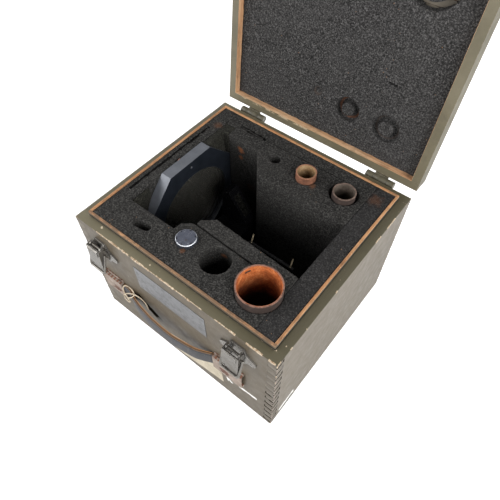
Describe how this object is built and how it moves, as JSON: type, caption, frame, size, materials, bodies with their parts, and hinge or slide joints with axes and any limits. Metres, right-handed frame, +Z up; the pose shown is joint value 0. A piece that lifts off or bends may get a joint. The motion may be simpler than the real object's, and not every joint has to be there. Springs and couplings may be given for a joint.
{
  "type": "binocular collimator",
  "caption": "Field collimator kit in an open painted wooden transit case: octagonal objective, reticle unit, tubes and a knob stowed in cut foam; hinged lid with toggle latches.",
  "frame": {"origin": "centre of the underside of the case", "axes": "+X to the right along the front, +Y to the back where the hinges are, +Z up"},
  "size_m": [0.305, 0.3614, 0.4966],
  "materials": {
    "olive_paint": "worn olive paint over wood",
    "bare_wood": "bare, oiled",
    "foam": "open-cell foam",
    "foam_lit": "dusty open-cell foam",
    "olive_metal": "chipped olive paint",
    "pin_steel": "dull",
    "latch_steel": "worn nickel plate",
    "screw_steel": "dull, rusty",
    "strap_leather": "creased",
    "strap_lining": "tan, frayed edge",
    "string": "natural twine",
    "cream_metal": "chipped cream paint",
    "label_metal": "blank, tarnished",
    "paper": "blank, torn",
    "black_metal": "black anodised",
    "glass": "clear",
    "copper": "tarnished",
    "gloss_black": "gloss black",
    "lamp_glass": "frosted",
    "pin_brass": "dull",
    "tube_small": "rusty outside, bright inside",
    "tube_middle": "brown tarnish",
    "tube_large": "rust",
    "knob": "blue-grey, bright rim"
  },
  "bodies": {
    "case": {"board_front": "olive_paint", "board_back": "olive_paint", "board_left": "olive_paint", "board_right": "olive_paint", "board_bottom": "olive_paint", "liner_front": "bare_wood", "liner_back": "bare_wood", "liner_left": "bare_wood", "liner_right": "bare_wood", "foam_base": "foam", "foam_left": "foam", "foam_back": "foam", "foam_right": "foam", "foam_front": "foam", "foam_divider": "foam", "hinge_body_leaves": "olive_metal", "hinge_pins": "pin_steel", "hinge_body_screws": "screw_steel", "latch_bases": "latch_steel", "latch_pins": "pin_steel", "latch_screws": "screw_steel", "strap_leather": "strap_leather", "strap_lining": "strap_lining", "strap_plate_left": "cream_metal", "strap_plate_right": "cream_metal", "strap_screws": "screw_steel", "strap_stud": "screw_steel", "handle_string": "string", "label_panel": "label_metal", "paper_patch": "paper"},
    "lid": {"lid_rail_front": "olive_paint", "lid_rail_back": "olive_paint", "lid_rail_left": "olive_paint", "lid_rail_right": "olive_paint", "lid_panel": "olive_paint", "lid_foam": "foam", "lid_keepers": "latch_steel", "hinge_lid_leaves": "olive_metal", "hinge_lid_screws": "screw_steel", "keeper_screws": "screw_steel"},
    "lever_left": {"latch_lever_left": "latch_steel"},
    "bail_left": {"latch_bail_left": "latch_steel"},
    "lever_right": {"latch_lever_right": "latch_steel"},
    "bail_right": {"latch_bail_right": "latch_steel"},
    "objective": {"objective_mount": "black_metal", "objective_lens": "glass", "objective_ring": "black_metal", "objective_screws": "screw_steel", "eyelet": "copper", "foam_wedges": "foam_lit"},
    "reticle": {"reticle_housing": "gloss_black", "reticle_window": "glass", "reticle_disc": "glass", "reticle_lamp": "lamp_glass", "terminal_board": "gloss_black", "terminal_pins": "pin_brass"},
    "small_tube": {"tube_small": "tube_small"},
    "middle_tube": {"tube_middle": "tube_middle"},
    "large_tube": {"tube_large": "tube_large"},
    "knob": {"knob_head": "knob"}
  },
  "joints": [
    {"name": "lid_hinge", "type": "hinge", "parent": "case", "child": "lid", "pos_m": [0, 0.147, 0.1975], "axis": [-1, 0, 0], "range_deg": [-95.5, 0]},
    {"name": "lever_left_pivot", "type": "hinge", "parent": "case", "child": "lever_left", "pos_m": [-0.114, -0.1475, 0.178], "axis": [-1, 0, 0], "range_deg": [0, 100]},
    {"name": "bail_left_pivot", "type": "hinge", "parent": "lever_left", "child": "bail_left", "pos_m": [-0.114, -0.1485, 0.17], "axis": [1, 0, 0], "range_deg": [-162.1, 0]},
    {"name": "lever_right_pivot", "type": "hinge", "parent": "case", "child": "lever_right", "pos_m": [0.102, -0.1475, 0.178], "axis": [-1, 0, 0], "range_deg": [0, 100]},
    {"name": "bail_right_pivot", "type": "hinge", "parent": "lever_right", "child": "bail_right", "pos_m": [0.102, -0.1485, 0.17], "axis": [1, 0, 0], "range_deg": [-162.1, 0]},
    {"name": "objective_lift", "type": "slide", "parent": "case", "child": "objective", "axis": [0, 0, 1], "range_m": [0, 0.19]},
    {"name": "reticle_lift", "type": "slide", "parent": "case", "child": "reticle", "axis": [0, 0, 1], "range_m": [0, 0.19]},
    {"name": "small_tube_lift", "type": "slide", "parent": "case", "child": "small_tube", "axis": [0, 0, 1], "range_m": [0, 0.11]},
    {"name": "middle_tube_lift", "type": "slide", "parent": "case", "child": "middle_tube", "axis": [0, 0, 1], "range_m": [0, 0.115]},
    {"name": "large_tube_lift", "type": "slide", "parent": "case", "child": "large_tube", "axis": [0, 0, 1], "range_m": [0, 0.125]},
    {"name": "knob_lift", "type": "slide", "parent": "case", "child": "knob", "axis": [0, 0, 1], "range_m": [0, 0.045]}
  ]
}
